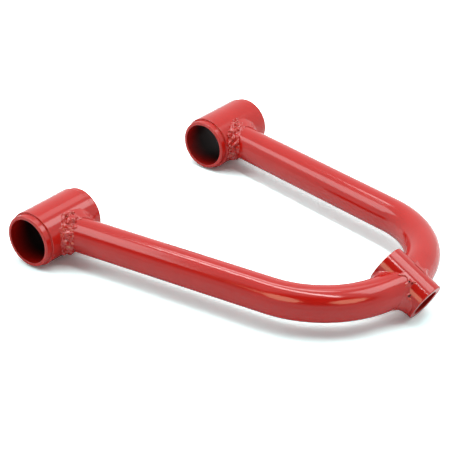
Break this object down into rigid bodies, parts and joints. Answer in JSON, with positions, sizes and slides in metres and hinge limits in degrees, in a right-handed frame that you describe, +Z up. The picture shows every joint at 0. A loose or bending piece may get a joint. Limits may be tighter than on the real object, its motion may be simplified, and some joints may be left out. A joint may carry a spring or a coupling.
{
  "type": "control arm",
  "caption": "Welded tubular A-shaped suspension control arm with coaxial pivot sleeves and a tilted outer hub; all bores are empty.",
  "frame": {"origin": "middle of the pivot axis, halfway between the two pivot sleeves", "axes": "+X along the pivot axis towards the front sleeve, +Y outwards to the hub, +Z up; the arm lies level on the sleeves and the hub's lower rim"},
  "size_m": [0.3124, 0.3463, 0.0539],
  "materials": {
    "sleeve_coat": "gloss red powder coat on turned steel tube",
    "leg_coat": "gloss red powder coat on drawn steel tube",
    "hub_coat": "gloss red powder coat on turned steel tube",
    "coated_weld": "gloss red powder coat over lumpy weld bead"
  },
  "bodies": {
    "root": {"front_pivot_sleeve": "sleeve_coat", "rear_pivot_sleeve": "sleeve_coat", "front_leg_tube": "leg_coat", "rear_leg_tube": "leg_coat", "outer_hub": "hub_coat", "front_sleeve_weld_fore": "coated_weld", "front_sleeve_weld_aft": "coated_weld", "rear_sleeve_weld_fore": "coated_weld", "rear_sleeve_weld_aft": "coated_weld", "front_hub_weld_outer": "coated_weld", "front_hub_weld_inner": "coated_weld", "rear_hub_weld_outer": "coated_weld", "rear_hub_weld_inner": "coated_weld"}
  },
  "joints": []
}
